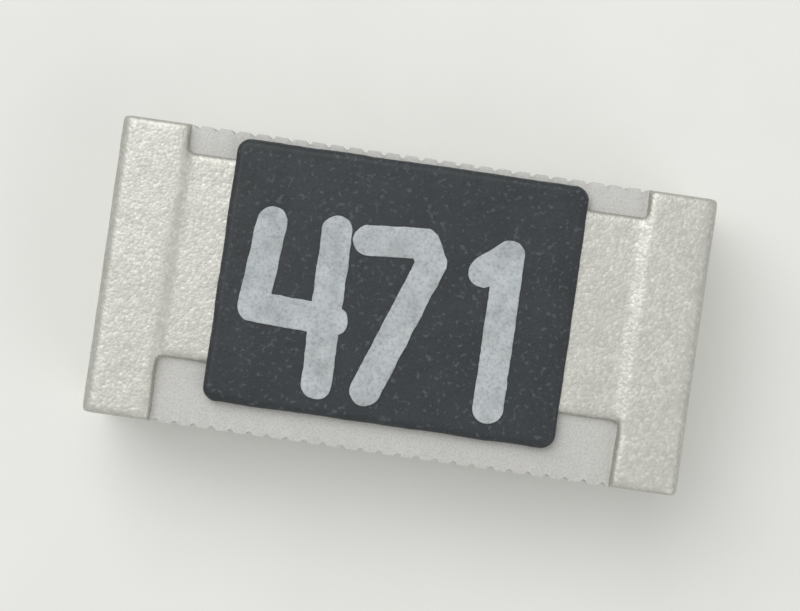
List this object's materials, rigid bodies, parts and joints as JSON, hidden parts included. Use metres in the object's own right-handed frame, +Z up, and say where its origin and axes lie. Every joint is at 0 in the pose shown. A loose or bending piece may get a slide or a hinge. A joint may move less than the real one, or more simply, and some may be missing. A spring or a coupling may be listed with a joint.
{
  "type": "smd chip resistor",
  "caption": "Surface-mount thick-film chip resistor: alumina block with wraparound tin-plated terminals, a dark protective coat on top and a printed three-digit value code",
  "frame": {"origin": "middle of the chip, half way up between its solder pads and its printed digits", "axes": "+X along the chip, the way its value code reads; +Y across it, to the top of the digits; +Z up, from the solder pads to the marked face"},
  "size_m": [0.0016, 0.0008, 0.0004],
  "materials": {
    "alumina": "fired, matte, snapped sides",
    "silver_paste": "fired thick-film silver",
    "ruthenium_film": "fired thick-film resistor",
    "primary_glass": "fired glass",
    "dark_coat": "cured resin, satin, finely grained",
    "end_paste": "cured end termination",
    "nickel": "plated nickel",
    "matte_tin": "plated matte tin",
    "white_ink": "printed marking ink"
  },
  "bodies": {
    "root": {"ceramic_substrate": "alumina", "back_electrode_left": "silver_paste", "back_electrode_right": "silver_paste", "face_electrode_left": "silver_paste", "face_electrode_right": "silver_paste", "resistive_film": "ruthenium_film", "glass_coat": "primary_glass", "protective_coat": "dark_coat", "end_electrode_left": "end_paste", "end_electrode_right": "end_paste", "nickel_barrier_left": "nickel", "nickel_barrier_right": "nickel", "tin_plating_left": "matte_tin", "tin_plating_right": "matte_tin", "digit_four": "white_ink", "digit_seven": "white_ink", "digit_one": "white_ink"}
  },
  "joints": []
}
